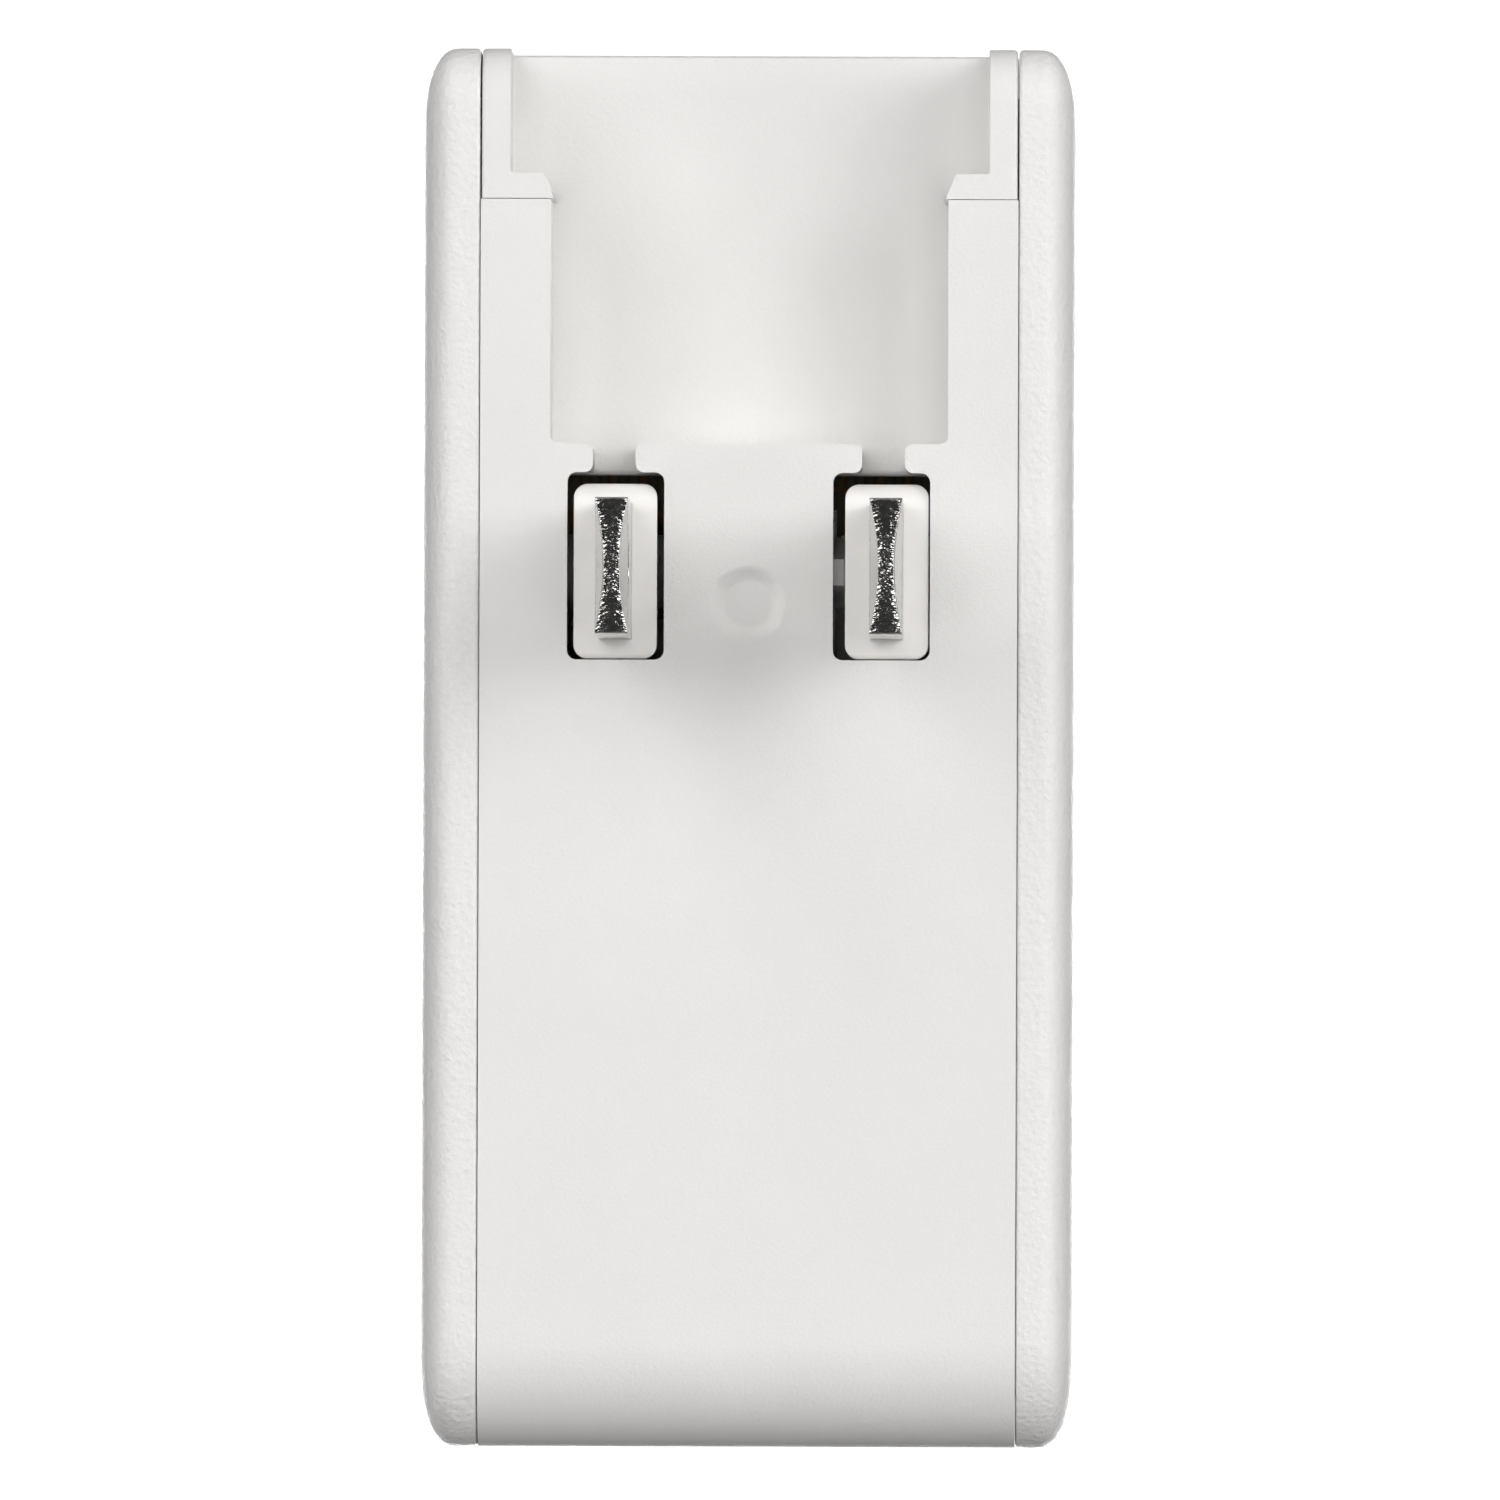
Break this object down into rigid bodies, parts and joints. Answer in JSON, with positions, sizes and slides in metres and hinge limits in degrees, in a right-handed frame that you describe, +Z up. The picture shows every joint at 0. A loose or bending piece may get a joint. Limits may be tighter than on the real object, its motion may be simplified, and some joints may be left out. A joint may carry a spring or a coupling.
{
  "type": "usb wall charger",
  "caption": "Compact white mains charger with flat blades that fold up into a recess in its back, two separate side panels and stacked USB sockets in its underside.",
  "frame": {"origin": "on the wall face, midway between the two blade windows, at the height of the blade hinge", "axes": "+X right as seen from the blades, +Y from the wall into the room, +Z up with the recess at the top"},
  "size_m": [0.0306, 0.0421, 0.0655],
  "materials": {
    "case_plastic": "fine matte texture",
    "panel_plastic": "fine sparkling grain",
    "ivory_plastic": "smooth satin",
    "blade_metal": "nickel plated brass",
    "inner_plastic": "matte",
    "spring_metal": "spring steel",
    "screw_metal": "zinc plated",
    "contact_metal": "bright",
    "circuit_board": "solder mask over glass fibre",
    "fuse_body": "glazed",
    "ferrite": "sintered",
    "chip_plastic": "moulded",
    "capacitor_sleeve": "shrunk sleeve",
    "disc_lacquer": "dipped lacquer",
    "winding_tape": "polyester tape",
    "bobbin_plastic": "phenolic",
    "insulation_film": "film",
    "socket_shell": "nickel plated sheet",
    "socket_insulator": "matte",
    "gold_contact": "gold plated"
  },
  "bodies": {
    "housing": {"rear_shell": "case_plastic", "front_shell": "case_plastic", "recess_tray": "case_plastic", "left_side_panel": "panel_plastic", "right_side_panel": "panel_plastic", "hinge_retainer": "inner_plastic", "retainer_screws": "screw_metal", "detent_spring": "spring_metal", "left_contact_spring": "contact_metal", "right_contact_spring": "contact_metal", "main_board": "circuit_board", "fuse": "fuse_body", "line_inductor": "ferrite", "bridge_rectifier": "chip_plastic", "bulk_capacitors": "capacitor_sleeve", "transformer_core": "ferrite", "transformer_bobbin": "bobbin_plastic", "transformer_winding": "winding_tape", "controller_chip": "chip_plastic", "optocoupler": "socket_insulator", "safety_capacitor": "disc_lacquer", "output_rectifier": "chip_plastic", "output_capacitors": "capacitor_sleeve", "chip_resistors": "chip_plastic", "insulation_sheet": "insulation_film", "usb_board": "circuit_board", "board_link_pins": "gold_contact", "rear_usb_shell": "socket_shell", "rear_usb_tongue": "socket_insulator", "rear_usb_contacts": "gold_contact", "front_usb_shell": "socket_shell", "front_usb_tongue": "socket_insulator", "front_usb_contacts": "gold_contact"},
    "plug_blades": {"blade_carrier": "ivory_plastic", "left_blade": "blade_metal", "right_blade": "blade_metal"}
  },
  "joints": [
    {"name": "blade_fold", "type": "hinge", "parent": "housing", "child": "plug_blades", "pos_m": [0, 0.0043, 0], "axis": [-1, 0, 0], "range_deg": [0, 90]}
  ]
}
